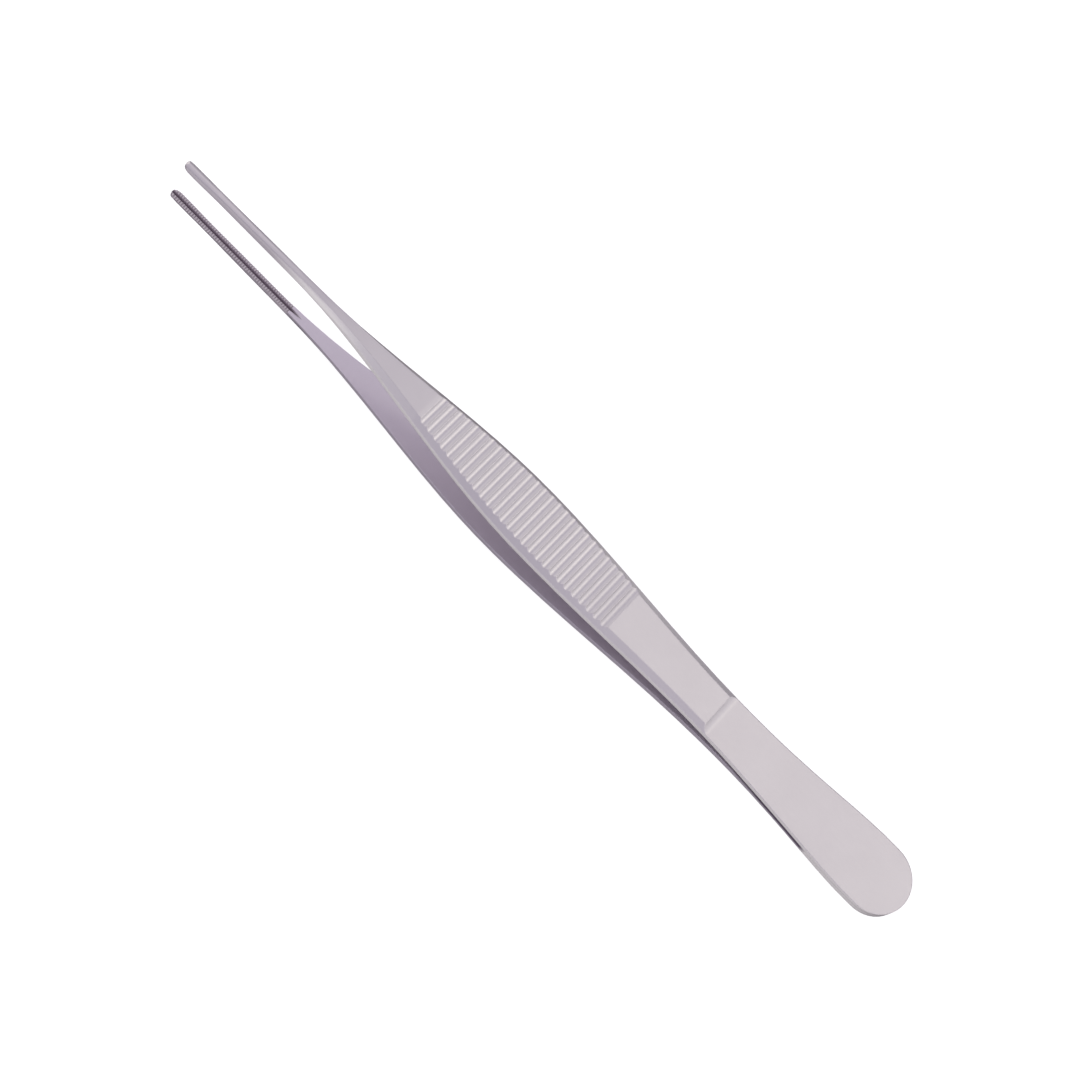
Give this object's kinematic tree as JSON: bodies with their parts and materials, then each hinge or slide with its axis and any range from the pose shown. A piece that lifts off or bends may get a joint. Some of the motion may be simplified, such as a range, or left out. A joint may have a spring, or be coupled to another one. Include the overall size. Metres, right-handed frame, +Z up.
{
  "type": "thumb forceps",
  "caption": "Slim sprung thumb forceps with a fluted grip, a flat round-ended butt and fine toothed jaws for handling soft tissue.",
  "frame": {"origin": "under the middle of the forceps, on the surface that they lie on", "axes": "+X along the forceps from the butt to the jaw tips, +Y across the arms, +Z up from the lying surface"},
  "size_m": [0.1502, 0.0114, 0.0134],
  "materials": {
    "satin_steel": "fine satin, glass-bead blasted stainless steel"
  },
  "bodies": {
    "root": {"single_row_arm": "satin_steel", "double_row_arm": "satin_steel"}
  },
  "joints": []
}
